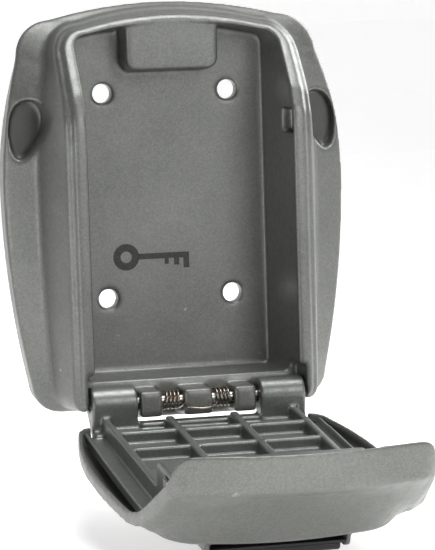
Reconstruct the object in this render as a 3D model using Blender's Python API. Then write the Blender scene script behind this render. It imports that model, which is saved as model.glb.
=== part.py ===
"""Wall-mounted combination key box with its drop-down door open.

Axes: X to the right, +Y into the wall, +Z up. The origin is the centre of the back face.
The door is drawn as if it were closed, in the box's own axes, and then hung on the hinge.
"""
import math

import bmesh
import bpy
from mathutils import Vector

MM = 0.001

# Box
FLOOR = 5.6                    # thickness of the back plate
RIM_Y = -38.1                  # front plane of the lip
RIM_BEND_Z = 33.0              # the lip starts to lean back here
RIM_SLOPE = 0.77
RIM_BLEND = 7.0
LIP_INNER = 34.0               # half the clear width of the opening
LIP_OUTER = 38.2
HOLE_X = 21.2
HOLE_ZS = (36.5, -31.0)
HOLE_RADIUS = 3.25
LEDGE_Z = -55.3                # top of the wall under the key space
SLOT_HALF = 36.3               # hinge gap cut in the bottom wall
LATCH_Z = (22.5, 30.6)
LATCH_Y = (-36.2, -25.4)
BOSS_HALF = 15.5               # block under the top wall of the key space
BOSS_LOW = 43.7
BOSS_FACE = -16.7
BOSS_CORNER = 3.6
RECESS_CENTRE = (49.4, 26.0)   # finger recess in each side
RECESS_RADII = (5.4, 9.8)
RECESS_LEAN = math.radians(14)
RECESS_FLOOR = -11.6
CORE_DEPTH = 2.8               # weight-saving pockets in the back
CORE_COLUMNS = ((-36.0, 7.0), (0.0, 12.0), (36.0, 7.0))
CORE_ROWS = (-42.0, -14.5, 14.5, 42.0)
CORE_HALF = 11.5

# Hinge
HINGE_Y = -33.5
HINGE_Z = -61.8
DOOR_TILT = math.radians(9.5)  # the open door hangs this far below level
PIN_RADIUS = 1.5
KNUCKLE_REACH = 3.8            # from the axis to the front of a knuckle
KNUCKLE_TOP = 3.5
KNUCKLE_DROP = 5.0             # from the axis to the bottom of a knuckle
KNUCKLE_CHAMFER = 0.6
KNUCKLE_ROOT = -26.0
SILL = (-27.0, -68.0)          # front and bottom of the block the knuckles grow from
KNUCKLES = ((-19.4, -11.8), (-4.9, 4.9), (11.8, 19.4))
EAR_RADIUS = 5.5
EAR_X = (20.5, 35.5)
GAP = 0.35

# Door, measured along its length from the hinge axis and upwards when it is open
TRAY_TOP = -3.2
TRAY_HALF = 32.5
RIB_EDGES = (9.3, 12.0)
ROW_STARTS = (21.7, 38.7)
ROW_RIB = 2.4
POCKET_FLOOR = -7.1
END_WALL_TOP = -5.2            # low wall behind the knuckles
GROOVE_FLOOR = -8.6
APRON = (1.0, -9.8, -6.6)       # strip behind the knuckles: how far past the axis, under, top
TRAY_UNDER = -10.1
COVER_IN = -13.6
COVER_FACE = -15.8
EDGE_TOP_Y = -12.6             # how far back the cover reaches over the top of the lip
FLANGE_END = 87.5              # the groove round the tray stops here
BLOCK = (74.5, 99.0)           # raised lock case on the tray
BLOCK_TOP = 4.5
WALL = 1.6

# Lock
DIAL_ALONG = 86.0
DIAL_UP = -8.5
DIAL_RADIUS = 8.6
DIAL_XS = (-12.9, -4.3, 4.3, 12.9)
DIAL_WIDTH = 5.2
CAM_RADIUS = 4.75
CAM_WIDTH = 2.0
AXLE_RADIUS = 1.6
SLIDE_UNDER = -7.0
SLIDE_TOP = -5.5
BOLT_UP = (0.2, 2.7)
BOLT_TIP = 33.4                # drawn in, just inside the lip
DRIVE_PIN = (24.75, 85.1)      # across, along
TRAVEL = 3.4                   # the bolts shoot out by this much
SHUTTER = (57.5, 94.5)
SHUTTER_HALF = 20.7
SHUTTER_TOP = COVER_FACE - 1.85
RAIL_HOOK = COVER_FACE - 2.9
RAIL_FOOT = COVER_FACE - 3.9
RAIL_START = 21.0

# Screws that hold the tray in the cover: x, along, head seat, post top, post foot, foot slope
SCREWS = ((-24.0, 56.0, -7.4, -10.7, -14.2, 0.0), (24.0, 56.0, -7.4, -10.7, -14.2, 0.0),
          (-22.5, 103.7, 0.5, -4.6, -10.1, 1.12), (22.5, 103.7, 0.5, -4.6, -10.1, 1.12))
SCREW_RADIUS = 1.2
SCREW_HEAD = 2.4
POST_HALF = 2.2


def rim_y(z):
    """Front plane of the lip: flat, then leaning back towards the wall."""
    over = z - RIM_BEND_Z
    if over <= -RIM_BLEND:
        return RIM_Y
    if over >= RIM_BLEND:
        return RIM_Y + RIM_SLOPE * over
    return RIM_Y + RIM_SLOPE * (over + RIM_BLEND) ** 2 / (4 * RIM_BLEND)


def smoothstep(value, low, high):
    t = min(max((value - low) / (high - low), 0.0), 1.0)
    return t * t * (3 - 2 * t)


# ---------------------------------------------------------------- mesh helpers

def material(name, colour, metallic, roughness):
    mat = bpy.data.materials.new(name)
    mat.use_nodes = True
    shader = mat.node_tree.nodes["Principled BSDF"]
    shader.inputs["Base Color"].default_value = (*colour, 1.0)
    shader.inputs["Metallic"].default_value = metallic
    shader.inputs["Roughness"].default_value = roughness
    return mat


def finish_mesh(bm, name, mat=None):
    """Scale millimetres to metres, point the faces outward and make the object."""
    bmesh.ops.remove_doubles(bm, verts=bm.verts, dist=0.001)
    bmesh.ops.recalc_face_normals(bm, faces=bm.faces)
    bmesh.ops.scale(bm, vec=(MM, MM, MM), verts=bm.verts)
    mesh = bpy.data.meshes.new(name)
    bm.to_mesh(mesh)
    bm.free()
    mesh.shade_smooth()
    mesh.set_sharp_from_angle(angle=math.radians(32))
    obj = bpy.data.objects.new(name, mesh)
    bpy.context.collection.objects.link(obj)
    if mat:
        mesh.materials.append(mat)
    return obj


def outline(w_mid, w_top, w_bot, z_top, z_bot, r_top=10, r_bot=8, sag=4.0, z_mid=8.0):
    """Right half of a barrel outline, from bottom centre to top centre, as (x, z)."""
    pts = [(0.0, z_bot), ((w_bot - r_bot) / 2, z_bot)]
    low, high = z_bot + r_bot, z_top - sag - r_top
    for i in range(6):
        a = math.radians(-90 + 90 * i / 5)
        pts.append((w_bot - r_bot + r_bot * math.cos(a), low + r_bot * math.sin(a)))
    for i in range(1, 16):
        z = low + (high - low) * i / 16
        edge, end = (w_bot, low) if z < z_mid else (w_top, high)
        pts.append((w_mid - (w_mid - edge) * ((z_mid - z) / (z_mid - end)) ** 2, z))
    for i in range(7):
        a = math.radians(90 * i / 6)
        pts.append((w_top - r_top + r_top * math.cos(a), high + r_top * math.sin(a)))
    for i in range(1, 6):
        x = (w_top - r_top) * (1 - i / 6)
        pts.append((x, z_top - sag * (x / (w_top - r_top)) ** 2))
    return pts + [(0.0, z_top)]


def in_box(x, y, z):
    return (x, y, z)


def in_door(x, y, z):
    """Closed position in the box's axes to the door's own axes, lying open and level."""
    return (x, HINGE_Z - z, y - HINGE_Y)


def loft(rings, place):
    """Closed body through rings of (half outline, depth function), capped at both ends."""
    bm = bmesh.new()
    loops = []
    for half, depth in rings:
        right = [bm.verts.new(place(x, depth(z), z)) for x, z in half]
        left = [bm.verts.new(place(-x, depth(z), z)) for x, z in half[1:-1]]
        loops.append((right, left))
    for (r0, l0), (r1, l1) in zip(loops, loops[1:]):
        ring0, ring1 = r0 + l0[::-1], r1 + l1[::-1]
        count = len(ring0)
        for i in range(count):
            j = (i + 1) % count
            bm.faces.new((ring0[i], ring0[j], ring1[j], ring1[i]))
    for right, left in (loops[0], loops[-1]):
        bm.faces.new(right[:4] + left[2::-1])
        for i in range(3, len(right) - 2):
            bm.faces.new((right[i], right[i + 1], left[i], left[i - 1]))
        bm.faces.new((right[-2], right[-1], left[-1]))
    return bm


def box(bm, lo, hi, bevel=0.0):
    size = [b - a for a, b in zip(lo, hi)]
    centre = [(a + b) / 2 for a, b in zip(lo, hi)]
    made = bmesh.ops.create_cube(bm, size=1.0)["verts"]
    bmesh.ops.scale(bm, vec=size, verts=made)
    bmesh.ops.translate(bm, vec=centre, verts=made)
    if bevel:
        edges = list({e for v in made for e in v.link_edges})
        bmesh.ops.bevel(bm, geom=edges, offset=bevel, segments=1, affect="EDGES")


def rod(bm, start, end, radius, segments=24):
    """Cylinder between two points."""
    axis = Vector(end) - Vector(start)
    made = bmesh.ops.create_cone(
        bm, cap_ends=True, segments=segments, radius1=radius, radius2=radius,
        depth=axis.length)["verts"]
    turn = Vector((0, 0, 1)).rotation_difference(axis).to_matrix()
    bmesh.ops.rotate(bm, verts=made, cent=(0, 0, 0), matrix=turn)
    bmesh.ops.translate(bm, vec=(Vector(start) + Vector(end)) / 2, verts=made)


def prism(bm, points, axis, low, high):
    """Extrude a flat outline along one axis (0 = X, 1 = Y, 2 = Z)."""
    def lift(p, height):
        coords = list(p)
        coords.insert(axis, height)
        return coords
    lower = [bm.verts.new(lift(p, low)) for p in points]
    upper = [bm.verts.new(lift(p, high)) for p in points]
    bm.faces.new(lower)
    bm.faces.new(upper[::-1])
    for i in range(len(points)):
        j = (i + 1) % len(points)
        bm.faces.new((lower[i], upper[i], upper[j], lower[j]))


def arc(cx, cy, radius, start, end, steps):
    """Points on an arc, in degrees."""
    angles = [math.radians(start + (end - start) * i / steps) for i in range(steps + 1)]
    return [(cx + radius * math.cos(a), cy + radius * math.sin(a)) for a in angles]


def slot_points(p, q, radius, steps=6):
    """Outline of a slot with round ends between two points."""
    a = math.degrees(math.atan2(q[1] - p[1], q[0] - p[0]))
    return (arc(q[0], q[1], radius, a - 90, a + 90, steps)
            + arc(p[0], p[1], radius, a + 90, a + 270, steps))


def boolean(target, bm, operation, name):
    """Cut a helper body from the target, or join it on, and apply it at once."""
    tool = finish_mesh(bm, name)
    modifier = target.modifiers.new(name, "BOOLEAN")
    modifier.operation = operation
    modifier.solver = "EXACT"
    modifier.object = tool
    graph = bpy.context.evaluated_depsgraph_get()
    mesh = bpy.data.meshes.new_from_object(target.evaluated_get(graph))
    target.modifiers.clear()
    target.data = mesh
    mesh.shade_smooth()
    mesh.set_sharp_from_angle(angle=math.radians(32))
    bpy.data.objects.remove(tool)


def cut(target, bm):
    boolean(target, bm, "DIFFERENCE", target.name + "_cut")


def join(target, bm):
    boolean(target, bm, "UNION", target.name + "_add")


def hang(obj, door, origin=(0, 0, 0)):
    """Parent an object to the door, with its own origin at a point of the door's axes."""
    shift = Vector(origin) * MM
    for vert in obj.data.vertices:
        vert.co -= shift
    obj.parent = door
    obj.location = shift


# ---------------------------------------------------------------- the box

def flange_y(z):
    return 0.40 * rim_y(z)


def crease_y(z):
    return 0.52 * rim_y(z)


def recess_points(side):
    """Teardrop outline of a finger recess, wide at the top and leaning outward."""
    points = []
    for i in range(24):
        a = 2 * math.pi * i / 24
        across = RECESS_RADII[0] * math.cos(a) * (1 + 0.28 * math.sin(a))
        along = RECESS_RADII[1] * math.sin(a)
        x = across * math.cos(RECESS_LEAN) - along * math.sin(RECESS_LEAN)
        z = across * math.sin(RECESS_LEAN) + along * math.cos(RECESS_LEAN)
        points.append((side * (RECESS_CENTRE[0] + x), RECESS_CENTRE[1] + z))
    return points


def make_body(paint):
    rings = [
        (outline(53.0, 45.5, 46.0, 62.8, -62.8, 12, 8, 4.6), lambda z: 0.0),
        (outline(56.0, 49.2, 49.0, 65.2, -65.2, 12, 8, 4.8), lambda z: -2.6),
        (outline(57.2, 50.8, 50.0, 66.2, -66.2, 12, 9, 5.0), flange_y),
        (outline(46.6, 41.8, 44.2, 64.3, -64.8, 12, 7, 4.2), crease_y),
        (outline(40.9, 40.6, 40.7, 63.4, -64.2, 10, 4, 4.0), lambda z: rim_y(z) + 2.4),
        (outline(39.8, 39.4, 39.6, 62.8, -63.8, 9.5, 3.4, 4.0), lambda z: rim_y(z) + 1.5),
        (outline(39.0, 38.6, 38.9, 62.2, -63.4, 9, 3, 3.9), lambda z: rim_y(z) + 2.3),
        (outline(LIP_OUTER, 37.8, 38.2, 61.8, -63.0, 7.5, 3, 3.8), rim_y),
        (outline(LIP_INNER, 34.0, 34.0, 59.4, LEDGE_Z, 5, 1.5, 3.4), rim_y),
        (outline(33.1, 33.1, 33.1, 58.6, LEDGE_Z - 0.1, 4, 1.5, 3.4), lambda z: -FLOOR),
    ]
    body = finish_mesh(loft(rings, in_box), "body", paint)

    boss = bmesh.new()
    side, low = BOSS_HALF - BOSS_CORNER, BOSS_LOW + BOSS_CORNER
    points = ([(BOSS_HALF, 61.0), (-BOSS_HALF, 61.0)]
              + arc(-side, low, BOSS_CORNER, 180, 270, 5)
              + arc(side, low, BOSS_CORNER, 270, 360, 5))
    prism(boss, points, 1, BOSS_FACE, -FLOOR + 1.0)
    join(body, boss)

    hinge_gap = bmesh.new()
    box(hinge_gap, (-SLOT_HALF, -60, -80), (SLOT_HALF, HINGE_Y + EAR_RADIUS + 0.5, -52.4))
    cut(body, hinge_gap)

    sill = bmesh.new()
    box(sill, (-KNUCKLES[-1][1], SILL[0], SILL[1]), (KNUCKLES[-1][1], -18.0, -60.0))
    join(body, sill)
    for start, end in KNUCKLES:
        knuckle = bmesh.new()
        front = HINGE_Y - KNUCKLE_REACH
        top, low = HINGE_Z + KNUCKLE_TOP, HINGE_Z - KNUCKLE_DROP
        points = [(KNUCKLE_ROOT, top), (front + KNUCKLE_CHAMFER, top),
                  (front, top - KNUCKLE_CHAMFER), (front, low + KNUCKLE_CHAMFER),
                  (front + KNUCKLE_CHAMFER, low), (KNUCKLE_ROOT, low)]
        prism(knuckle, points, 0, start, end)
        join(body, knuckle)
    bore = bmesh.new()
    rod(bore, (-22, HINGE_Y, HINGE_Z), (22, HINGE_Y, HINGE_Z), PIN_RADIUS + 0.35)
    cut(body, bore)

    holes = bmesh.new()
    for x in (-HOLE_X, HOLE_X):
        for z in HOLE_ZS:
            rod(holes, (x, 5, z), (x, -FLOOR - 5, z), HOLE_RADIUS, 28)
    cut(body, holes)

    for side in (-1, 1):
        recess = bmesh.new()
        prism(recess, recess_points(side), 1, RECESS_FLOOR, -30.0)
        cut(body, recess)
        latch = bmesh.new()
        box(latch, (min(side * 30.0, side * 37.6), LATCH_Y[0], LATCH_Z[0]),
            (max(side * 30.0, side * 37.6), LATCH_Y[1], LATCH_Z[1]), 0.5)
        cut(body, latch)

    cores = bmesh.new()
    for x, half_width in CORE_COLUMNS:
        for z in CORE_ROWS:
            box(cores, (x - half_width, -CORE_DEPTH, z - CORE_HALF),
                (x + half_width, CORE_DEPTH, z + CORE_HALF))
    cut(body, cores)
    return body


def make_hinge_pin(steel):
    bm = bmesh.new()
    end = EAR_X[1] - 0.4
    rod(bm, (-end, 0, 0), (end, 0, 0), PIN_RADIUS, 20)
    pin = finish_mesh(bm, "hinge_pin", steel)
    pin.location = (0, HINGE_Y * MM, HINGE_Z * MM)
    return pin


def spring_path():
    """Two coils round the pin, joined by a U that presses the door, with a leg at each end."""
    radius, turns, steps, pitch = 2.75, 4, 12, 1.15
    start_x, end_x = 11.1, 5.7
    half = [(start_x, 5.4, 2.2), (start_x, 3.6, 1.7)]
    for i in range(turns * steps + 4):
        a = math.radians(20 - 360 * i / steps)
        x = start_x - (start_x - end_x) * i / (turns * steps + 3)
        half.append((x, radius * math.cos(a), radius * math.sin(a)))
    half += [(end_x - 0.1, -5.2, -1.2), (4.4, -7.4, -2.0), (2.2, -8.2, -2.3)]
    return half + [(0.0, -8.4, -2.4)] + [(-x, y, z) for x, y, z in reversed(half)]


def tube(points, radius, name, mat):
    curve = bpy.data.curves.new(name, "CURVE")
    curve.dimensions = "3D"
    curve.bevel_depth = radius * MM
    curve.bevel_resolution = 1
    curve.render_resolution_u = 0
    curve.use_fill_caps = True
    spline = curve.splines.new("POLY")
    spline.points.add(len(points) - 1)
    for point, co in zip(spline.points, points):
        point.co = (co[0] * MM, co[1] * MM, co[2] * MM, 1.0)
    curve.materials.append(mat)
    obj = bpy.data.objects.new(name, curve)
    bpy.context.collection.objects.link(obj)
    return obj


def make_hinge_spring(steel):
    spring = tube(spring_path(), 0.42, "hinge_spring", steel)
    spring.location = (0, HINGE_Y * MM, HINGE_Z * MM)
    return spring


# ---------------------------------------------------------------- the door

def tray_under_y(z):
    """Underside of the tray: thinner where it leans back."""
    return rim_y(z) - 5.6 + 1.0 * smoothstep(z, 18, 32)


def tray_groove_y(z):
    return rim_y(z) - 4.0 + 0.8 * smoothstep(z, 18, 32)


def tray_plug_y(z):
    return rim_y(z) + 1.4


def make_tray(paint, door):
    start = HINGE_Z + 3.8
    rings = [
        (outline(39.0, 37.4, 38.0, 59.4, start + 0.6, 8, 5, 3.6), tray_under_y),
        (outline(40.1, 38.4, 39.4, 60.4, start, 8, 5, 3.6), lambda z: tray_under_y(z) + 1.2),
        (outline(40.1, 38.6, 39.4, 60.8, start, 8, 5, 3.6), lambda z: rim_y(z) - 1.5),
        (outline(38.9, 37.6, 38.2, 60.0, start + 0.9, 7, 4, 3.6), lambda z: rim_y(z) - 1.5),
        (outline(38.7, 37.4, 38.0, 59.8, start + 1.1, 7, 4, 3.6), tray_groove_y),
        (outline(32.8, 32.6, 32.8, 57.4, start + 1.4, 4, 1, 3.2), tray_groove_y),
        (outline(32.5, 32.2, 32.5, 57.0, start + 1.6, 4, 1, 3.2), tray_plug_y),
        (outline(30.2, 30.0, 30.2, 55.2, start + 3.4, 3, 0.6, 3.2), tray_plug_y),
        (outline(30.0, 29.8, 30.0, 55.0, start + 3.5, 3, 0.6, 3.2),
         lambda z: rim_y(z) - 2.5 + 0.4 * smoothstep(z, 26, 42)),
    ]
    tray = finish_mesh(loft(rings, in_door), "door_tray", paint)

    inner = EAR_X[0] - GAP
    for low, high, floor in ((-inner, inner, END_WALL_TOP), (inner - 0.2, 29.9, POCKET_FLOOR),
                             (-29.9, 0.2 - inner, POCKET_FLOOR)):
        end_wall = bmesh.new()
        box(end_wall, (low, -7.6, floor), (high, -2.0, 6.0))
        cut(tray, end_wall)
    apron = bmesh.new()
    past, under, top = APRON
    box(apron, (-EAR_X[0] - 0.5, -6.0, under), (EAR_X[0] + 0.5, past, top))
    join(tray, apron)
    for low, high in ((-RIB_EDGES[1], -RIB_EDGES[0]), RIB_EDGES):
        rib = bmesh.new()
        box(rib, (low, -BLOCK[0] - 1, POCKET_FLOOR - 0.8), (high, -6.4, TRAY_TOP))
        join(tray, rib)
    for row in ROW_STARTS:
        rib = bmesh.new()
        box(rib, (-31.2, -row, POCKET_FLOOR - 0.8), (31.2, -row + ROW_RIB, TRAY_TOP))
        join(tray, rib)

    for side in (-1, 1):
        heel = bmesh.new()
        points = [(EAR_X[1] + 0.2, -6.3), (41.0, -12.0), (60.0, -12.0), (60.0, 10.0),
                  (EAR_X[1] + 0.2, 10.0)]
        prism(heel, [(side * px, py) for px, py in points], 2, -20, 40)
        cut(tray, heel)
        corner = bmesh.new()
        points = ([(60.0, -FLANGE_END), (60.0, -140.0), (33.0, -140.0)]
                  + arc(35.4, -FLANGE_END - 5.0, 2.4, 180, 90, 4))
        prism(corner, [(side * px, py) for px, py in points], 2, -20, 40)
        cut(tray, corner)

    case = bmesh.new()
    box(case, (-TRAY_HALF, -BLOCK[1], POCKET_FLOOR - 1.2), (TRAY_HALF, -BLOCK[0], BLOCK_TOP), 0.8)
    join(tray, case)
    shelf = bmesh.new()
    box(shelf, (-31.2, -BLOCK[0] - 1.0, POCKET_FLOOR - 0.8), (31.2, -60.0, TRAY_TOP))
    join(tray, shelf)

    hollow = bmesh.new()
    box(hollow, (-30.7, -BLOCK[1] + WALL, -20), (30.7, -BLOCK[0] - WALL, BLOCK_TOP - 1.5))
    cut(tray, hollow)
    hollow = bmesh.new()
    box(hollow, (-28.6, -BLOCK[0] - WALL - 1, -20), (28.6, -61.8, TRAY_TOP - 1.4))
    cut(tray, hollow)

    for side in (-1, 1):
        ear = bmesh.new()
        foot = GROOVE_FLOOR - 1.2
        points = (arc(0, 0, EAR_RADIUS, -60, 180, 26)
                  + [(-EAR_RADIUS, POCKET_FLOOR - 0.4), (-9.6, POCKET_FLOOR - 0.4),
                     (-9.6, foot), (-3.0, foot)])
        inner, outer = side * EAR_X[0], side * EAR_X[1]
        prism(ear, points, 0, min(inner, outer), max(inner, outer))
        join(tray, ear)
        window = bmesh.new()
        near, far = side * 29.5, side * 34.0
        box(window, (min(near, far), -92.1, BOLT_UP[0] - GAP), (max(near, far), -84.5, BOLT_UP[1] + GAP))
        cut(tray, window)
    bore = bmesh.new()
    rod(bore, (-40, 0, 0), (40, 0, 0), PIN_RADIUS + 0.35)
    cut(tray, bore)

    reset = bmesh.new()
    prism(reset, slot_points((-3.0, -95.0), (3.0, -95.0), 1.5), 2, 0, 9)
    cut(tray, reset)
    for x, along, seat, post_top, foot, slope in SCREWS:
        if slope:
            pad = bmesh.new()
            rod(pad, (x, -along, seat - 3.1), (x, -along, seat + 1.0), SCREW_HEAD + 1.1, 20)
            join(tray, pad)
        head = bmesh.new()
        rod(head, (x, -along, seat), (x, -along, 12), SCREW_HEAD + GAP, 20)
        cut(tray, head)
        hole = bmesh.new()
        rod(hole, (x, -along, -20), (x, -along, 20), SCREW_RADIUS + GAP, 16)
        cut(tray, hole)
    hang(tray, door)
    return tray


def edge_y(z):
    """Edge of the cover: just in front of the lip, reaching back over it along the top."""
    ahead = rim_y(z) - 1.0
    return ahead + (EDGE_TOP_Y - ahead) * smoothstep(z, 55.0, 62.0)


def cover_shoulder_y(z):
    """Where the side wall rounds into the front face, then into the leaning end."""
    return max(HINGE_Y + COVER_FACE + 6.0, rim_y(z) - 8.4)


def cover_side_y(z):
    return min(rim_y(z) - 5.6, -24.6)


def cover_inside_y(z):
    return min(rim_y(z) - 5.0, -23.6)


def cover_hollow_y(z):
    return max(HINGE_Y + COVER_IN + 3.0, rim_y(z) - 6.6)


def make_cover(paint, door):
    start = HINGE_Z + 4.0
    mid = -10.0
    front = HINGE_Y + COVER_FACE
    inside = HINGE_Y + COVER_IN
    rings = [
        (outline(34.5, 28.0, 33.5, 34.5, start + 4.5, 9, 7, 2.6, mid), lambda z: front),
        (outline(39.5, 32.0, 37.2, 37.6, start + 2.4, 10, 8, 2.7, mid), lambda z: front + 0.7),
        (outline(43.3, 36.0, 39.8, 41.5, start + 1.0, 12, 8, 2.9, mid), lambda z: front + 2.4),
        (outline(45.7, 38.4, 41.2, 57.5, start + 0.3, 13, 8, 4.0, mid), cover_shoulder_y),
        (outline(47.0, 40.6, 41.8, 64.6, start, 9.0, 8, 4.2, mid), cover_side_y),
        (outline(47.0, 40.8, 41.8, 65.8, start, 8.0, 8, 4.4, mid), edge_y),
        (outline(45.4, 39.4, 40.3, 64.3, start + 1.5, 7.0, 7, 4.4, mid),
         lambda z: edge_y(z + 1.5)),
        (outline(45.0, 38.9, 40.2, 62.9, start + 1.6, 8.0, 7, 4.0, mid), cover_inside_y),
        (outline(43.4, 37.0, 40.0, 55.0, start + 1.8, 12, 7, 4.0, mid), cover_hollow_y),
        (outline(41.2, 34.4, 38.8, 40.4, start + 2.3, 10, 7, 2.6, mid), lambda z: inside + 1.6),
        (outline(34.0, 27.6, 33.2, 35.4, start + 4.6, 9, 7, 2.4, mid), lambda z: inside),
    ]
    cover = finish_mesh(loft(rings, in_door), "door_cover", paint)

    hinge_side = bmesh.new()
    box(hinge_side, (-EAR_X[1] - 0.5, -9.8, TRAY_UNDER - GAP), (EAR_X[1] + 0.5, 10, 10))
    cut(cover, hinge_side)
    windows = bmesh.new()
    for x in DIAL_XS:
        box(windows, (x - 3.1, -DIAL_ALONG - 7.4, COVER_FACE - 5),
            (x + 3.1, -DIAL_ALONG + 7.4, COVER_IN + 5))
    cut(cover, windows)
    slot = bmesh.new()
    box(slot, (-4.0, -75.3, COVER_FACE - 5), (4.0, -67.3, COVER_IN + 5))
    cut(cover, slot)

    for side in (-1, 1):
        rail = bmesh.new()
        wall_in, wall_out, hook = side * 21.0, side * 22.6, side * 19.7
        box(rail, (min(wall_in, wall_out), -SHUTTER[1] - 0.4, RAIL_FOOT),
            (max(wall_in, wall_out), -RAIL_START, COVER_FACE + 0.5))
        join(cover, rail)
        lip = bmesh.new()
        box(lip, (min(hook, wall_out), -SHUTTER[1] - 0.4, RAIL_FOOT),
            (max(hook, wall_out), -RAIL_START, RAIL_HOOK))
        join(cover, lip)
    stop = bmesh.new()
    box(stop, (-22.6, -RAIL_START - 0.5, RAIL_FOOT), (22.6, -RAIL_START + 1.0, COVER_FACE + 0.5))
    join(cover, stop)

    for x, along, seat, post_top, foot, slope in SCREWS:
        post = bmesh.new()
        near, far = -along + POST_HALF, -along - POST_HALF
        drop = slope * POST_HALF
        points = [(near, post_top), (far, post_top), (far, foot + drop), (near, foot - drop)]
        prism(post, points, 0, x - POST_HALF, x + POST_HALF)
        join(cover, post)
        hole = bmesh.new()
        rod(hole, (x, -along, hole_bottom(foot, slope)), (x, -along, 0), SCREW_RADIUS + GAP, 16)
        cut(cover, hole)
    hang(cover, door)
    return cover


def hole_bottom(foot, slope):
    return foot + 0.8 + slope


def make_screw(index, place, steel, door):
    x, along, seat, post_top, foot, slope = place
    under = seat + 0.3
    bm = bmesh.new()
    rod(bm, (x, -along, under), (x, -along, under + 1.7), SCREW_HEAD, 20)
    screw = finish_mesh(bm, f"tray_screw_{index}", steel)
    shank = bmesh.new()
    rod(shank, (x, -along, hole_bottom(foot, slope) + 0.4), (x, -along, under + 0.4),
        SCREW_RADIUS, 12)
    join(screw, shank)
    hang(screw, door)
    return screw


# ---------------------------------------------------------------- the lock

def make_dial(index, x, brass, door):
    bm = bmesh.new()
    half = DIAL_WIDTH / 2
    points = []
    for tooth in range(10):
        a = 36 * tooth
        points += arc(0, 0, DIAL_RADIUS, a - 13, a + 13, 3)
        points += arc(0, 0, DIAL_RADIUS - 0.6, a + 16, a + 20, 1)
    prism(bm, points, 0, -half, half)
    dial = finish_mesh(bm, f"dial_{index}", brass)
    bore = bmesh.new()
    rod(bore, (-9, 0, 0), (9, 0, 0), AXLE_RADIUS + 0.3, 20)
    cut(dial, bore)
    dial.parent = door
    dial.location = Vector((x, -DIAL_ALONG, DIAL_UP)) * MM
    return dial


def make_cam(index, x, steel, door):
    bm = bmesh.new()
    gate = 18
    points = arc(0, 0, CAM_RADIUS, 90 + gate, 450 - gate, 24)
    points += [(1.2, 3.0), (-1.2, 3.0)]
    prism(bm, points, 0, -CAM_WIDTH / 2, CAM_WIDTH / 2)
    cam = finish_mesh(bm, f"cam_{index}", steel)
    bore = bmesh.new()
    rod(bore, (-9, 0, 0), (9, 0, 0), AXLE_RADIUS + 0.3, 20)
    cut(cam, bore)
    cam.parent = door
    offset = DIAL_WIDTH / 2 + 0.35 + CAM_WIDTH / 2
    cam.location = Vector((x + offset, -DIAL_ALONG, DIAL_UP)) * MM
    return cam


def make_axle(steel, door):
    bm = bmesh.new()
    rod(bm, (-22.3, 0, 0), (22.3, 0, 0), AXLE_RADIUS, 20)
    axle = finish_mesh(bm, "dial_axle", steel)
    axle.parent = door
    axle.location = Vector((0, -DIAL_ALONG, DIAL_UP)) * MM
    return axle


def make_bracket(steel, door):
    """Steel frame that carries the dial axle: two cheeks and a cross bar."""
    bm = bmesh.new()
    low, high = DIAL_UP - 2.6, DIAL_UP + 3.6
    cheek = [(-80.0, low), (-80.0, high), (-96.6, high), (-96.6, low)]
    prism(bm, cheek, 0, -21.4, -19.9)
    prism(bm, cheek, 0, 19.9, 21.4)
    bracket = finish_mesh(bm, "dial_bracket", steel)
    bar = bmesh.new()
    box(bar, (-21.4, -96.9, low + 1.0), (21.4, -95.5, high))
    join(bracket, bar)
    bore = bmesh.new()
    rod(bore, (-30, -DIAL_ALONG, DIAL_UP), (30, -DIAL_ALONG, DIAL_UP), AXLE_RADIUS + 0.3, 20)
    cut(bracket, bore)
    hang(bracket, door)
    return bracket


def make_detent(steel, door):
    """Comb of four leaf fingers, one behind each dial."""
    bm = bmesh.new()
    up = DIAL_UP + 4.2
    box(bm, (-18.0, -97.0, up), (18.0, -95.6, up + 0.8))
    detent = finish_mesh(bm, "detent_spring", steel)
    reach = DIAL_ALONG + math.sqrt((DIAL_RADIUS + 0.35) ** 2 - 4.2 ** 2)
    for x in DIAL_XS:
        finger = bmesh.new()
        box(finger, (x - 1.8, -96.0, up), (x + 1.8, -reach, up + 0.8))
        join(detent, finger)
    hang(detent, door)
    return detent


def make_slide(steel, door):
    """U-shaped latch plate; its pins draw the two bolts inward."""
    bm = bmesh.new()
    box(bm, (-27.0, -72.0, SLIDE_UNDER), (27.0, -67.2, SLIDE_TOP))
    slide = finish_mesh(bm, "latch_slide", steel)
    x, along = DRIVE_PIN
    for side in (-1, 1):
        arm = bmesh.new()
        ends = sorted((side * 22.5, side * 27.0))
        box(arm, (ends[0], -86.8, SLIDE_UNDER), (ends[1], -67.4, SLIDE_TOP))
        join(slide, arm)
        pin = bmesh.new()
        rod(pin, (side * x, -along, SLIDE_TOP - 0.5), (side * x, -along, BOLT_UP[1] - 0.2), 1.0, 16)
        join(slide, pin)
    hang(slide, door)
    return slide


def make_bolt(side, name, steel, door):
    x, along = DRIVE_PIN
    bm = bmesh.new()
    back, shoulder, tip = BOLT_TIP - 14.9, BOLT_TIP - 6.7, BOLT_TIP
    points = [(back, -81.6), (shoulder, -81.6), (shoulder, -84.9), (tip - 1.4, -84.9),
              (tip, -86.2), (tip, -90.4), (tip - 1.4, -91.7), (back, -91.7)]
    prism(bm, [(side * px, py) for px, py in points], 2, BOLT_UP[0], BOLT_UP[1])
    bolt = finish_mesh(bm, name, steel)
    slot = bmesh.new()
    start = (side * x, -along)
    end = (side * (x - TRAVEL), -along - TRAVEL)
    prism(slot, slot_points(start, end, 1.35), 2, -5, 9)
    cut(bolt, slot)
    hang(bolt, door)
    return bolt


def coil_points(length, radius, turns, steps=10):
    count = turns * steps
    return [(radius * math.cos(2 * math.pi * i / steps), length * i / count,
             radius * math.sin(2 * math.pi * i / steps)) for i in range(count + 1)]


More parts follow.
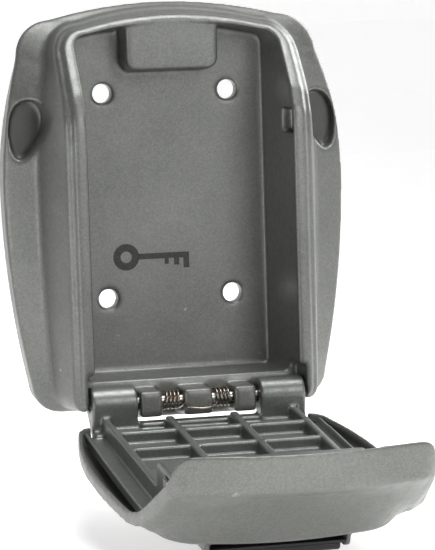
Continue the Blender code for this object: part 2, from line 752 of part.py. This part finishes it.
def make_return_spring(steel, door):
    spring = tube(coil_points(4.6, 1.2, 5), 0.28, "latch_spring", steel)
    spring.parent = door
    spring.location = Vector((12.0, -66.8, (SLIDE_UNDER + SLIDE_TOP) / 2 - 0.2)) * MM
    return spring


def make_release(paint, door):
    """Thumb button outside the cover, with a neck down to the latch plate."""
    bm = bmesh.new()
    box(bm, (-8.0, -72.4, COVER_FACE - 1.55), (8.0, -64.6, COVER_FACE - 0.3), 0.3)
    button = finish_mesh(bm, "release_button", paint)
    neck = bmesh.new()
    box(neck, (-3.6, -71.4, COVER_FACE - 0.8), (3.6, -67.8, SLIDE_UNDER - 0.35))
    join(button, neck)
    for i in range(3):
        groove = bmesh.new()
        at = -66.8 - 1.7 * i
        box(groove, (-6.5, at - 0.35, COVER_FACE - 4), (6.5, at + 0.35, COVER_FACE - 1.1))
        cut(button, groove)
    hang(button, door)
    return button


def make_reset(steel, door):
    """Code-change lever: a thumb tab above the lock case, its stem through a slot."""
    bm = bmesh.new()
    box(bm, (-5.4, -96.6, BLOCK_TOP + 0.35), (-0.6, -93.4, BLOCK_TOP + 2.2), 0.4)
    lever = finish_mesh(bm, "reset_lever", steel)
    stem = bmesh.new()
    rod(stem, (-3.0, -95.0, BLOCK_TOP - 1.3), (-3.0, -95.0, BLOCK_TOP + 1.0), 1.1, 16)
    join(lever, stem)
    hang(lever, door)
    return lever


def make_shutter(plastic, door):
    """Weather shutter over the dials: a thin plate under the rails with a raised face."""
    bm = bmesh.new()
    low, high = SHUTTER
    box(bm, (-SHUTTER_HALF, -high, SHUTTER_TOP - 0.8), (SHUTTER_HALF, -low, SHUTTER_TOP))
    shutter = finish_mesh(bm, "dial_shutter", plastic)
    face = bmesh.new()
    box(face, (-19.3, -high, SHUTTER_TOP - 3.05), (19.3, -low, SHUTTER_TOP - 0.4), 0.6)
    join(shutter, face)
    for i in range(5):
        groove = bmesh.new()
        at = -low - 4.0 - 2.2 * i
        box(groove, (-12, at - 0.45, SHUTTER_TOP - 5), (12, at + 0.45, SHUTTER_TOP - 2.35))
        cut(shutter, groove)
    hang(shutter, door)
    return shutter


def build():
    for old in list(bpy.data.objects):
        bpy.data.objects.remove(old)

    paint = material("zinc_paint", (0.30, 0.31, 0.29), 0.35, 0.42)
    tray_paint = material("tray_paint", (0.34, 0.36, 0.35), 0.35, 0.40)
    cover_paint = material("cover_paint", (0.36, 0.37, 0.34), 0.35, 0.40)
    steel = material("steel", (0.60, 0.60, 0.58), 1.0, 0.28)
    spring_steel = material("spring_steel", (0.45, 0.45, 0.43), 1.0, 0.25)
    brass = material("dial_metal", (0.62, 0.60, 0.52), 1.0, 0.35)
    black = material("shutter_plastic", (0.04, 0.04, 0.045), 0.0, 0.45)

    make_body(paint)
    make_hinge_pin(steel)
    make_hinge_spring(spring_steel)

    door = bpy.data.objects.new("door_axis", None)
    bpy.context.collection.objects.link(door)
    door.location = (0, HINGE_Y * MM, HINGE_Z * MM)
    door.rotation_euler = (DOOR_TILT, 0, 0)

    make_tray(tray_paint, door)
    make_cover(cover_paint, door)
    for index, place in enumerate(SCREWS, start=1):
        make_screw(index, place, steel, door)
    make_bracket(steel, door)
    make_axle(steel, door)
    make_detent(spring_steel, door)
    for index, x in enumerate(DIAL_XS, start=1):
        make_dial(index, x, brass, door)
        make_cam(index, x, steel, door)
    make_slide(steel, door)
    make_bolt(-1, "bolt_left", steel, door)
    make_bolt(1, "bolt_right", steel, door)
    make_return_spring(spring_steel, door)
    make_release(black, door)
    make_reset(steel, door)
    make_shutter(black, door)


build()
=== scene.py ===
"""Looks for the key lock box: cast shells, wire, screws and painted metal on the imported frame."""
import math

import bmesh
import bpy
from mathutils import Matrix, Vector
from mathutils.kdtree import KDTree


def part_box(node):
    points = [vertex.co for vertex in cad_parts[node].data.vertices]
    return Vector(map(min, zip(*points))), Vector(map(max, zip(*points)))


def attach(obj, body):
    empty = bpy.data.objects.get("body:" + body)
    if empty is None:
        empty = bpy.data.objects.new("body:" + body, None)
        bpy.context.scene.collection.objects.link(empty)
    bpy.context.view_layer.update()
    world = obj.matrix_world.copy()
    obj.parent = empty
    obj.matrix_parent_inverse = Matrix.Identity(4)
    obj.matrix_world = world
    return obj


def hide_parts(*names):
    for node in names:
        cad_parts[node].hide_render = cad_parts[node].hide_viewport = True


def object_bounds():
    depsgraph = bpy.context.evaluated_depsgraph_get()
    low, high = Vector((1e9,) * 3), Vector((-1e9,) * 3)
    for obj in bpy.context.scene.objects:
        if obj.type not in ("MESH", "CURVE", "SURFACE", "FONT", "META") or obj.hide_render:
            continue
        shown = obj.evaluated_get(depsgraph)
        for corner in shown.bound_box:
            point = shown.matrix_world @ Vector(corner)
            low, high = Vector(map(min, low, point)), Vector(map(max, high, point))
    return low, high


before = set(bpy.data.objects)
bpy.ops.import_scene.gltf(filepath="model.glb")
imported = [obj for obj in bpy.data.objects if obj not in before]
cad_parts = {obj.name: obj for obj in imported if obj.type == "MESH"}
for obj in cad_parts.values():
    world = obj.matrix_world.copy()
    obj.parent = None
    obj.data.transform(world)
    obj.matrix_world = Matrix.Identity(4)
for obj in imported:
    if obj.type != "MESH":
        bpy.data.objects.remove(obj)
cad_low, cad_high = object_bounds()

MM = 0.001

# Camera at the photograph's viewpoint
CAMERA_PLACE = (-0.24441, -0.95735, 0.06356)
CAMERA_YAW = math.radians(14.97)       # to the right of +Y
CAMERA_PITCH = math.radians(-5.97)
CAMERA_ROLL = math.radians(-1.71)
CAMERA_LENS = 195.17
CAMERA_SHIFT = (0.0288, 0.0807)

# Soft lights: name, place, size, watts
LIGHTS = (("overhead", (0.10, -0.25, 0.9), (0.6, 0.5), 9.0),
          ("front", (0.35, -1.2, 0.45), (0.5, 0.7), 5.0),
          ("left_low", (-0.75, -0.55, -0.02), (0.35, 0.25), 1.4),
          ("right_back", (0.75, 0.25, 0.45), (0.5, 0.7), 9.0))
LIGHT_TARGET = (0.0, -0.05, 0.0)
WORLD_RAMP = ((0.55, 0.05), (0.85, 1.0))  # how far towards the backdrop, and how bright there

# Paper sweep under and behind the box, in metres
PAPER_FRONT = -3.0
PAPER_BEND = 1.2                       # the curve starts here
PAPER_RADIUS = 0.5
PAPER_HEIGHT = 2.0
PAPER_HALF = 3.0
PAPER_GLOW = 0.55

# Places that the frame's pieces share, in millimetres
HINGE = Vector((0.0, -33.5, -61.8))
FLOOR_FACE = -5.6                      # front of the back plate
RECESS_CENTRE = (49.4, 10.2, 26.0)     # middle of the floor of a finger recess, mirrored
RECESS_REACH = (7.4, 3.2, 11.4)
DIAL_RADIUS = 8.6
DIAL_FIGURE = 3.6                      # height of a figure on a dial
FIGURE_TO_FONT = 1.35                  # font size for a figure of that height
FIGURE_LIFT = 0.03
MARK_LIFT = 0.06

# Colours under the paint, and the painted shade of the finger recesses
RUBBED_ZINC = (0.50, 0.50, 0.475)
CHIPPED_ZINC = (0.40, 0.385, 0.35)
# near-black painted shade laid into the finger recesses
RECESS_SHADE_COLOUR = (0.045, 0.046, 0.043)

# Fine meshes
VOXEL = 0.42                           # of the remeshed castings, in millimetres
FIRM_EDGE = math.radians(68)           # sharper CAD edges stay crisp, the rest flow together
INNER_EDGE = math.radians(36)          # the same, for the lip and all that lies inside it
INNER_HALF = 42.0                      # half the width of that inner region
FIRM_REACH = (0.9, 2.6)                # distance over which smoothing fades in from such an edge


# ---------------------------------------------------------------- camera, light and floor

def camera_axes():
    forward = Vector((math.sin(CAMERA_YAW) * math.cos(CAMERA_PITCH),
                      math.cos(CAMERA_YAW) * math.cos(CAMERA_PITCH),
                      math.sin(CAMERA_PITCH)))
    level = Vector((math.cos(CAMERA_YAW), -math.sin(CAMERA_YAW), 0.0))
    upright = level.cross(forward)
    right = level * math.cos(CAMERA_ROLL) + upright * math.sin(CAMERA_ROLL)
    up = upright * math.cos(CAMERA_ROLL) - level * math.sin(CAMERA_ROLL)
    return right, up, forward


def make_camera():
    data = bpy.data.cameras.new("photo_camera")
    data.lens = CAMERA_LENS
    data.shift_x, data.shift_y = CAMERA_SHIFT
    data.clip_start = 0.01
    data.clip_end = 20.0
    camera = bpy.data.objects.new("photo_camera", data)
    bpy.context.scene.collection.objects.link(camera)
    right, up, forward = camera_axes()
    turn = Matrix((right, up, -forward)).transposed()
    camera.matrix_world = Matrix.Translation(CAMERA_PLACE) @ turn.to_4x4()
    bpy.context.scene.camera = camera


def area_light(name, place, size, power):
    data = bpy.data.lights.new(name, "AREA")
    data.shape = "RECTANGLE"
    data.size, data.size_y = size
    data.energy = power
    light = bpy.data.objects.new(name, data)
    bpy.context.scene.collection.objects.link(light)
    light.location = place
    aim = Vector(LIGHT_TARGET) - Vector(place)
    light.rotation_euler = aim.to_track_quat("-Z", "Y").to_euler()


def make_lights():
    for name, place, size, power in LIGHTS:
        area_light(name, place, size, power)


def make_world():
    """Bright towards the backdrop, nearly dark behind the camera."""
    world = bpy.data.worlds.new("studio")
    bpy.context.scene.world = world
    world.use_nodes = True
    tree = world.node_tree
    coord = tree.nodes.new("ShaderNodeTexCoord")
    split = tree.nodes.new("ShaderNodeSeparateXYZ")
    tree.links.new(coord.outputs["Generated"], split.inputs[0])
    ramp = tree.nodes.new("ShaderNodeValToRGB")
    for element, (position, grey) in zip(ramp.color_ramp.elements, WORLD_RAMP):
        element.position = position
        element.color = (grey, grey, grey, 1)
    tree.links.new(split.outputs["Y"], ramp.inputs[0])
    tree.links.new(ramp.outputs[0], tree.nodes["Background"].inputs["Color"])
    tree.nodes["Background"].inputs["Strength"].default_value = 1.0
    bpy.context.scene.view_settings.view_transform = "Standard"


def make_floor():
    """Pale table that curves up into the backdrop behind the box."""
    level = cad_low.z - 0.001
    bm = bmesh.new()
    profile = [(PAPER_FRONT, level), (PAPER_BEND, level)]
    for i in range(1, 9):
        a = math.radians(90 * i / 8)
        profile.append((PAPER_BEND + PAPER_RADIUS * math.sin(a),
                        level + PAPER_RADIUS * (1 - math.cos(a))))
    profile.append((PAPER_BEND + PAPER_RADIUS, level + PAPER_HEIGHT))
    rows = [[bm.verts.new((x, y, z)) for y, z in profile] for x in (-PAPER_HALF, PAPER_HALF)]
    for i in range(len(profile) - 1):
        bm.faces.new((rows[0][i], rows[0][i + 1], rows[1][i + 1], rows[1][i]))
    floor = link_mesh(bm, "floor")
    mat = new_material("floor_paper")
    shader = mat.node_tree.nodes["Principled BSDF"]
    shader.inputs["Base Color"].default_value = (0.86, 0.86, 0.86, 1)
    shader.inputs["Roughness"].default_value = 0.8
    shader.inputs["Specular IOR Level"].default_value = 0.1
    shader.inputs["Emission Color"].default_value = (1, 1, 1, 1)
    shader.inputs["Emission Strength"].default_value = PAPER_GLOW
    floor.data.materials.append(mat)


# ---------------------------------------------------------------- materials

def new_material(name):
    mat = bpy.data.materials.new(name)
    mat.use_nodes = True
    return mat


class Nodes:
    """Short names for building one material's node tree."""

    def __init__(self, mat):
        self.tree = mat.node_tree
        self.shader = self.tree.nodes["Principled BSDF"]
        self.place = self.tree.nodes.new("ShaderNodeTexCoord").outputs["Object"]

    def link(self, source, target):
        self.tree.links.new(source, target)

    def noise(self, scale, detail=2.0, stretch=None):
        node = self.tree.nodes.new("ShaderNodeTexNoise")
        node.inputs["Scale"].default_value = scale
        node.inputs["Detail"].default_value = detail
        place = self.place
        if stretch:
            mapping = self.tree.nodes.new("ShaderNodeMapping")
            mapping.inputs["Scale"].default_value = stretch
            self.link(place, mapping.inputs["Vector"])
            place = mapping.outputs["Vector"]
        self.link(place, node.inputs["Vector"])
        return node.outputs["Fac"]

    def cells(self, scale):
        node = self.tree.nodes.new("ShaderNodeTexVoronoi")
        node.inputs["Scale"].default_value = scale
        self.link(self.place, node.inputs["Vector"])
        split = self.tree.nodes.new("ShaderNodeSeparateColor")
        self.link(node.outputs["Color"], split.inputs["Color"])
        return split.outputs["Red"]

    def ramp(self, value, start, end, low, high):
        node = self.tree.nodes.new("ShaderNodeMapRange")
        node.inputs["From Min"].default_value = start
        node.inputs["From Max"].default_value = end
        node.inputs["To Min"].default_value = low
        node.inputs["To Max"].default_value = high
        self.link(value, node.inputs["Value"])
        return node.outputs["Result"]

    def math(self, operation, a, b):
        node = self.tree.nodes.new("ShaderNodeMath")
        node.operation = operation
        for socket, value in zip(node.inputs, (a, b)):
            if isinstance(value, (int, float)):
                socket.default_value = value
            else:
                self.link(value, socket)
        return node.outputs[0]

    def mix(self, factor, a, b):
        node = self.tree.nodes.new("ShaderNodeMix")
        node.data_type = "RGBA"
        self.link(factor, node.inputs["Factor"])
        for socket, value in ((node.inputs[6], a), (node.inputs[7], b)):
            if isinstance(value, tuple):
                socket.default_value = (*value, 1)
            else:
                self.link(value, socket)
        return node.outputs[2]

    def bump(self, height, strength, depth_mm):
        node = self.tree.nodes.new("ShaderNodeBump")
        node.inputs["Strength"].default_value = strength
        node.inputs["Distance"].default_value = depth_mm * MM
        self.link(height, node.inputs["Height"])
        self.link(node.outputs["Normal"], self.shader.inputs["Normal"])


def metallic_paint(name, colour, metallic=0.55, roughness=0.40, worn=0.6):
    """Silver-grey lacquer with fine metal flake, faint mottling, worn edges and small chips."""
    mat = new_material(name)
    n = Nodes(mat)
    dark = tuple(c * 0.86 for c in colour)
    light = tuple(c * 1.15 for c in colour)
    base = n.mix(n.ramp(n.noise(30, 3), 0.35, 0.65, 0.0, 1.0), dark, light)
    flake = n.ramp(n.cells(2600), 0.0, 1.0, 0.0, 0.34)
    base = n.mix(flake, base, tuple(min(1.0, c * 1.75) for c in colour))
    grain = n.ramp(n.noise(1300, 3), 0.42, 0.60, 0.0, 0.25)
    base = n.mix(grain, base, tuple(c * 0.62 for c in colour))
    geometry = n.tree.nodes.new("ShaderNodeNewGeometry")
    edge = n.ramp(geometry.outputs["Pointiness"], 0.535, 0.60, 0.0, worn)
    rubbed = n.math("MULTIPLY", edge, n.ramp(n.noise(160, 4), 0.40, 0.62, 0.15, 1.0))
    base = n.mix(rubbed, base, RUBBED_ZINC)
    chips = n.ramp(n.noise(240, 2), 0.765, 0.785, 0.0, 0.6)
    base = n.mix(chips, base, CHIPPED_ZINC)
    n.link(base, n.shader.inputs["Base Color"])
    rough = n.ramp(n.noise(420, 3), 0.3, 0.7, roughness - 0.05, roughness + 0.07)
    n.link(n.math("SUBTRACT", rough, n.math("MULTIPLY", rubbed, 0.12)),
           n.shader.inputs["Roughness"])
    n.shader.inputs["Metallic"].default_value = metallic
    n.shader.inputs["Coat Weight"].default_value = 0.12
    n.shader.inputs["Coat Roughness"].default_value = 0.35
    n.bump(n.noise(1500, 3), 0.22, 0.05)
    return mat


def darken_recesses(mat):
    """Painted shade: the finger recesses are darkened towards a near-black colour, in place of the
    shade that falls in these hollows.
    """
    n = Nodes(mat)
    base = n.shader.inputs["Base Color"].links[0].from_socket
    place = n.place
    steps = (("ABSOLUTE", None), ("SUBTRACT", tuple(c * MM for c in RECESS_CENTRE)),
             ("DIVIDE", tuple(c * MM for c in RECESS_REACH)))
    for operation, amount in steps:
        node = n.tree.nodes.new("ShaderNodeVectorMath")
        node.operation = operation
        n.link(place, node.inputs[0])
        if amount:
            node.inputs[1].default_value = amount
        place = node.outputs["Vector"]
    length = n.tree.nodes.new("ShaderNodeVectorMath")
    length.operation = "LENGTH"
    n.link(place, length.inputs[0])
    # painted shade mask: strongest over each recess, fading out towards its rim
    inside = n.ramp(length.outputs["Value"], 0.85, 1.10, 0.8, 0.0)
    n.link(n.mix(inside, base, RECESS_SHADE_COLOUR), n.shader.inputs["Base Color"])


def bare_metal(name, colour, tint, roughness, stretch):
    """Drawn or ground metal: streaks along the work, slight tarnish."""
    mat = new_material(name)
    n = Nodes(mat)
    streaks = n.noise(500, 4, stretch)
    base = n.mix(n.ramp(n.noise(90, 4), 0.4, 0.7, 0.0, 0.75), colour, tint)
    base = n.mix(n.ramp(streaks, 0.35, 0.7, 0.0, 0.35), base, tuple(c * 0.55 for c in colour))
    n.link(base, n.shader.inputs["Base Color"])
    n.link(n.ramp(streaks, 0.3, 0.7, roughness - 0.08, roughness + 0.12),
           n.shader.inputs["Roughness"])
    n.shader.inputs["Metallic"].default_value = 1.0
    n.bump(streaks, 0.25, 0.03)
    return mat


def moulded_plastic(name, colour):
    """Black moulding with spark-eroded grain and dull, handled patches."""
    mat = new_material(name)
    n = Nodes(mat)
    patches = n.ramp(n.noise(60, 4), 0.4, 0.7, 0.0, 1.0)
    base = n.mix(patches, colour, tuple(c * 1.7 for c in colour))
    n.link(base, n.shader.inputs["Base Color"])
    n.link(n.ramp(n.noise(110, 3), 0.35, 0.65, 0.38, 0.55), n.shader.inputs["Roughness"])
    n.bump(n.noise(2200, 2), 0.35, 0.04)
    return mat


def printed_ink(name):
    mat = new_material(name)
    n = Nodes(mat)
    patches = n.ramp(n.noise(900, 3), 0.3, 0.7, 0.0, 1.0)
    base = n.mix(patches, (0.012, 0.012, 0.013), (0.03, 0.03, 0.03))
    n.link(base, n.shader.inputs["Base Color"])
    n.link(n.ramp(n.noise(700, 2), 0.3, 0.7, 0.42, 0.58), n.shader.inputs["Roughness"])
    return mat


# ---------------------------------------------------------------- meshes

def link_mesh(bm, name):
    mesh = bpy.data.meshes.new(name)
    bm.to_mesh(mesh)
    bm.free()
    obj = bpy.data.objects.new(name, mesh)
    bpy.context.scene.collection.objects.link(obj)
    return obj


def apply_modifiers(obj):
    graph = bpy.context.evaluated_depsgraph_get()
    mesh = bpy.data.meshes.new_from_object(obj.evaluated_get(graph))
    obj.modifiers.clear()
    obj.data = mesh


def sharp_places(mesh, has_inner, spacing=0.5 * MM):
    """Tree of points along the edges that stay crisp."""
    bm = bmesh.new()
    bm.from_mesh(mesh)
    points = []
    for edge in bm.edges:
        if len(edge.link_faces) != 2:
            continue
        a, b = (v.co for v in edge.verts)
        inner = has_inner and abs(a.x + b.x) / 2 < INNER_HALF * MM
        if edge.calc_face_angle(0.0) > (INNER_EDGE if inner else FIRM_EDGE):
            steps = max(1, int((b - a).length / spacing))
            points += [a.lerp(b, i / steps) for i in range(steps + 1)]
    bm.free()
    tree = KDTree(max(1, len(points)))
    for i, point in enumerate(points):
        tree.insert(point, i)
    tree.balance()
    return tree


def casting(node, mat, body, voxel=VOXEL, calm=45, keep=0.4, has_inner=True):
    """Cast version of a CAD node: edges slightly rounded, its gentle facets run together."""
    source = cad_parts[node]
    obj = bpy.data.objects.new(node + "_casting", source.data.copy())
    bpy.context.scene.collection.objects.link(obj)
    crisp = sharp_places(obj.data, has_inner)
    remesh = obj.modifiers.new("remesh", "REMESH")
    remesh.mode = "VOXEL"
    remesh.voxel_size = voxel * MM
    apply_modifiers(obj)
    group = obj.vertex_groups.new(name="calm")
    near, far = (reach * MM for reach in FIRM_REACH)
    for vert in obj.data.vertices:
        distance = crisp.find(vert.co)[2]
        if distance and distance > near:
            group.add([vert.index], min(1.0, (distance - near) / (far - near)), "REPLACE")
    relax = obj.modifiers.new("relax", "SMOOTH")
    relax.factor = 0.5
    relax.iterations = calm
    relax.vertex_group = "calm"
    ease = obj.modifiers.new("ease", "SMOOTH")
    ease.factor = 0.5
    ease.iterations = 3
    thin = obj.modifiers.new("thin", "DECIMATE")
    thin.ratio = keep
    apply_modifiers(obj)
    obj.vertex_groups.clear()
    obj.data.shade_smooth()
    obj.data.materials.clear()
    obj.data.materials.append(mat)
    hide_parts(node)
    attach(obj, body)
    return obj


def soften(node, mat, width=0.2):
    """Machined CAD node kept as it is, with its edges broken and a finished material."""
    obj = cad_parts[node]
    bevel = obj.modifiers.new("broken_edges", "BEVEL")
    bevel.width = width * MM
    bevel.segments = 2
    bevel.limit_method = "ANGLE"
    bevel.angle_limit = math.radians(40)
    for slot in obj.material_slots:
        slot.material = mat


def wire(name, points, radius, mat, body):
    """Round wire through points given in metres."""
    curve = bpy.data.curves.new(name, "CURVE")
    curve.dimensions = "3D"
    curve.bevel_depth = radius * MM
    curve.bevel_resolution = 4
    curve.use_fill_caps = True
    spline = curve.splines.new("POLY")
    spline.points.add(len(points) - 1)
    for point, place in zip(spline.points, points):
        point.co = (*place, 1.0)
    curve.materials.append(mat)
    obj = bpy.data.objects.new(name, curve)
    bpy.context.scene.collection.objects.link(obj)
    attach(obj, body)
    return obj


def make_hinge_spring(mat):
    """Two coils round the pin, joined by a U that presses on the door."""
    radius, turns, steps = 2.75, 4, 32
    start, end = 11.1, 5.7
    half = [(start, 5.4, 2.2), (start, 3.6, 1.7)]
    count = turns * steps + steps // 3
    for i in range(count):
        a = math.radians(20 - 360 * i / steps)
        x = start - (start - end) * i / (count - 1)
        half.append((x, radius * math.cos(a), radius * math.sin(a)))
    half += [(end - 0.1, -5.2, -1.2), (4.4, -7.4, -2.0), (2.2, -8.2, -2.3)]
    path = half + [(0.0, -8.4, -2.4)] + [(-x, y, z) for x, y, z in reversed(half)]
    spring = wire("hinge_spring_wire", [(HINGE + Vector(p)) * MM for p in path], 0.42, mat, "box")
    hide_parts("hinge_spring")


def make_key_mark(mat):
    """Generic key pictogram printed on the back plate."""
    shapes = []
    centre, outer, inner = (-15.0, -17.5), 4.4, 1.9
    ring = []
    for i in range(48):
        a = 2 * math.pi * i / 48
        ring.append((math.cos(a), math.sin(a)))
    for i in range(48):
        p, q = ring[i], ring[(i + 1) % 48]
        shapes.append([(centre[0] + outer * p[0], centre[1] + outer * p[1]),
                       (centre[0] + outer * q[0], centre[1] + outer * q[1]),
                       (centre[0] + inner * q[0], centre[1] + inner * q[1]),
                       (centre[0] + inner * p[0], centre[1] + inner * p[1])])
    stem_start, stem_end, thick = -10.8, 6.4, 0.95
    shapes.append([(stem_start, centre[1] - thick), (stem_end, centre[1] - thick),
                   (stem_end, centre[1] + thick), (stem_start, centre[1] + thick)])
    for left, width, drop in ((4.4, 2.0, 3.4), (1.2, 1.8, 2.3), (-2.0, 1.4, 1.9)):
        shapes.append([(left, centre[1] - thick - drop), (left + width, centre[1] - thick - drop),
                       (left + width, centre[1] - thick), (left, centre[1] - thick)])
    bm = bmesh.new()
    for shape in shapes:
        bm.faces.new([bm.verts.new((x * MM, (FLOOR_FACE - MARK_LIFT) * MM, z * MM))
                      for x, z in shape])
    bmesh.ops.remove_doubles(bm, verts=bm.verts, dist=0.01 * MM)
    mark = link_mesh(bm, "key_mark")
    mark.data.materials.append(mat)
    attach(mark, "box")


def make_figures(index, mat):
    """The ten figures round one dial, bent onto its rim."""
    low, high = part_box(f"dial_{index}")
    centre = (low + high) / 2
    bm = bmesh.new()
    for figure in range(10):
        curve = bpy.data.curves.new("figure", "FONT")
        curve.body = str(figure)
        curve.size = DIAL_FIGURE * MM * FIGURE_TO_FONT
        curve.align_x = "CENTER"
        curve.align_y = "CENTER"
        holder = bpy.data.objects.new("figure", curve)
        flat = bpy.data.meshes.new_from_object(holder)
        angle = math.radians(36 * figure)
        radius = (DIAL_RADIUS + FIGURE_LIFT) * MM
        for vert in flat.vertices:
            bend = angle + vert.co.y / radius
            round_rim = Vector((vert.co.x, -radius * math.sin(bend), -radius * math.cos(bend)))
            vert.co = centre + round_rim
        bm.from_mesh(flat)
        bpy.data.objects.remove(holder)
        bpy.data.curves.remove(curve)
        bpy.data.meshes.remove(flat)
    figures = link_mesh(bm, f"dial_{index}_figures")
    figures.data.materials.append(mat)
    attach(figures, f"dial{index}")


def dress():
    body_paint = metallic_paint("body_paint", (0.150, 0.154, 0.144), worn=0.12)
    # painted shade in the finger recesses
    darken_recesses(body_paint)
    tray_paint = metallic_paint("tray_paint", (0.150, 0.157, 0.150), roughness=0.36, worn=0.22)
    cover_paint = metallic_paint("cover_paint", (0.165, 0.170, 0.156), worn=0.12)
    steel = bare_metal("zinc_steel", (0.62, 0.61, 0.58), (0.50, 0.46, 0.40), 0.30, (1, 12, 12))
    spring_steel = bare_metal("spring_wire", (0.30, 0.29, 0.27), (0.42, 0.30, 0.20), 0.28,
                              (14, 1, 1))
    nickel = bare_metal("dial_nickel", (0.60, 0.57, 0.49), (0.50, 0.44, 0.33), 0.32, (10, 1, 1))
    plastic = moulded_plastic("black_plastic", (0.022, 0.022, 0.024))
    ink = printed_ink("black_ink")

    casting("body", body_paint, "box", keep=0.35)
    casting("door_tray", tray_paint, "door", voxel=0.4, calm=10)
    casting("door_cover", cover_paint, "door", has_inner=False)
    make_hinge_spring(spring_steel)
    make_key_mark(ink)
    for index in range(1, 5):
        make_figures(index, ink)
        soften(f"tray_screw_{index}", steel, 0.25)
        soften(f"dial_{index}", nickel, 0.12)
        soften(f"cam_{index}", steel, 0.1)
    for node in ("hinge_pin", "dial_bracket", "dial_axle", "latch_slide", "bolt_left",
                 "bolt_right", "reset_lever"):
        soften(node, steel)
    for node in ("detent_spring", "latch_spring"):
        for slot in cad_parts[node].material_slots:
            slot.material = spring_steel
    for node in ("dial_shutter", "release_button"):
        soften(node, plastic, 0.25)


make_camera()
make_lights()
make_world()
make_floor()
dress()
